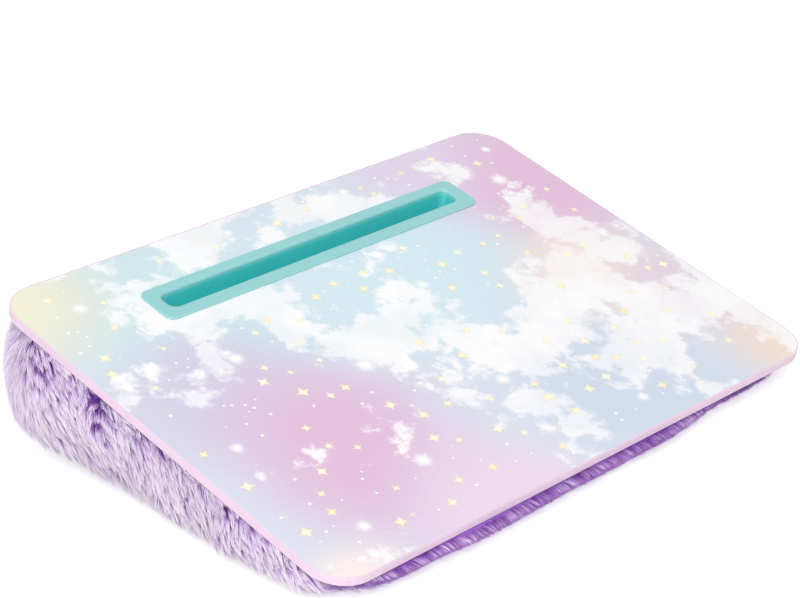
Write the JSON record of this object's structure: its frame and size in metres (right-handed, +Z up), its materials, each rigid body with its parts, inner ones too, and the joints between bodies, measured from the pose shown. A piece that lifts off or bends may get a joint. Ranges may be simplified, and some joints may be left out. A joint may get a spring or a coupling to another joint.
{
  "type": "lap desk",
  "caption": "Wedge lap desk: a rounded board with a printed pastel face and a tablet slot, on a cushion in long-pile fabric.",
  "frame": {"origin": "on the ground, under the middle of the board, in the middle of the cushion's flat base", "axes": "+X to the right along the board's long side for the person using it, +Y to the raised back edge with the tablet slot, +Z up"},
  "size_m": [0.4562, 0.3148, 0.0995],
  "materials": {
    "fibreboard": "raw",
    "printed_film": "satin laminate with a pastel cloud print",
    "backing_paper": "matt",
    "pink_edging": "satin",
    "teal_plastic": "satin, injection moulded",
    "adhesive": "clear amber",
    "lining_cloth": "plain weave",
    "lilac_fur": "long pile, combed",
    "polyester_fibre": "loose fibre"
  },
  "bodies": {
    "root": {"board_core": "fibreboard", "print_sheet": "printed_film", "backing_sheet": "backing_paper", "edge_band": "pink_edging", "tablet_slot_insert": "teal_plastic", "bond_sheet": "adhesive", "cushion_lining": "lining_cloth", "cover_right": "lilac_fur", "cover_back": "lilac_fur", "cover_left": "lilac_fur", "cover_front": "lilac_fur", "cover_base": "lilac_fur", "cushion_fill": "polyester_fibre"}
  },
  "joints": []
}
